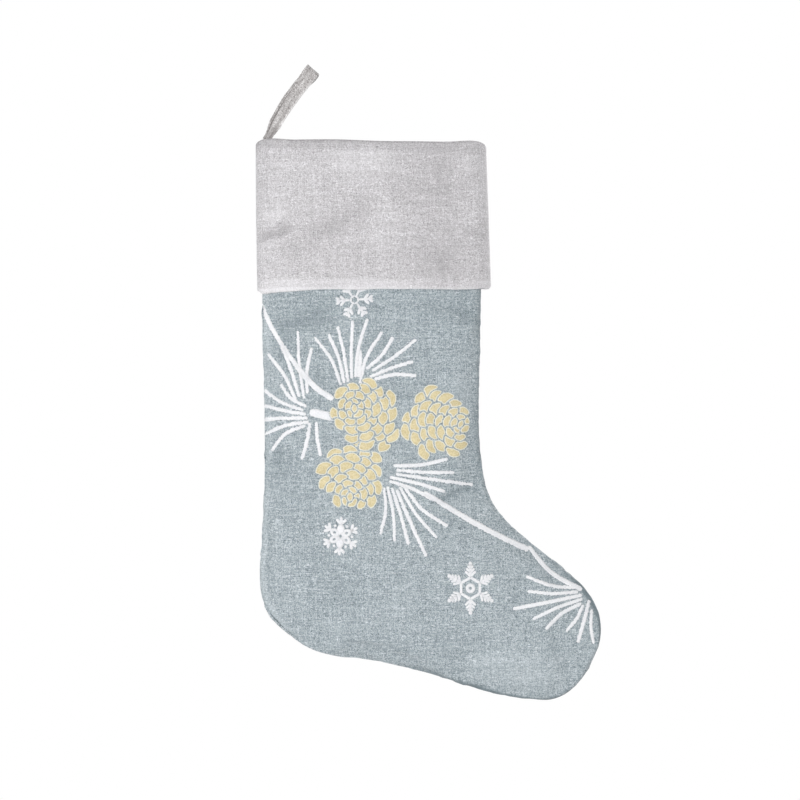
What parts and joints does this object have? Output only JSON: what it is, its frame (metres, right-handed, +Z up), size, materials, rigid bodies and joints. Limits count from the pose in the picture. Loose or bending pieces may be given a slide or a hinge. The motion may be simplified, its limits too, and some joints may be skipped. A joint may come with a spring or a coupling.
{
  "type": "hanging stocking",
  "caption": "Lined cloth stocking with a deep turned-down cuff, an open mouth and pocket, and a flat doubled strap sewn at the heel-side corner to hang it by.",
  "frame": {"origin": "axis of the hook, inside the top of the hanging loop", "axes": "+X from the heel side to the toe side, +Y from the printed front to the back, +Z up"},
  "size_m": [0.3104, 0.0394, 0.5729],
  "materials": {
    "body_fabric": "blue-grey linen weave with silver metallic flecks",
    "cuff_fabric": "pinkish silver-grey linen weave with a soft metallic sheen",
    "lining_fabric": "plain pale lining cloth",
    "cuff_thread": "silver-grey sewing thread",
    "body_thread": "blue-grey sewing thread",
    "lining_thread": "pale sewing thread",
    "ink_white": "matt white screen-print ink, slightly raised",
    "ink_gold": "matt gold-cream screen-print ink, slightly raised"
  },
  "bodies": {
    "stocking": {"front_panel": "body_fabric", "back_panel": "body_fabric", "front_lining": "lining_fabric", "back_lining": "lining_fabric", "cuff_front": "cuff_fabric", "cuff_back": "cuff_fabric", "cuff_facing_front": "cuff_fabric", "cuff_facing_back": "cuff_fabric", "loop_tail": "cuff_fabric", "tack_thread": "cuff_thread", "tail_stitches": "cuff_thread", "mouth_seam_thread": "cuff_thread", "body_seam_thread": "body_thread", "lining_seam_thread": "lining_thread", "cuff_seam_thread": "cuff_thread", "hem_seam_thread": "cuff_thread"},
    "loop_root": {"loop_root_tab": "cuff_fabric", "fold_thread": "cuff_thread"},
    "loop": {"hanging_loop": "cuff_fabric"}
  },
  "joints": [
    {"name": "loop_lean", "type": "hinge", "parent": "stocking", "child": "loop_root", "pos_m": [-0.03803, 0, -0.05638], "axis": [0, 1, 0], "range_deg": [-65, 15]},
    {"name": "loop_fold", "type": "hinge", "parent": "loop_root", "child": "loop", "pos_m": [-0.03355, 0, -0.04974], "axis": [0.829, 0, -0.5592], "range_deg": [-100, 100]}
  ]
}
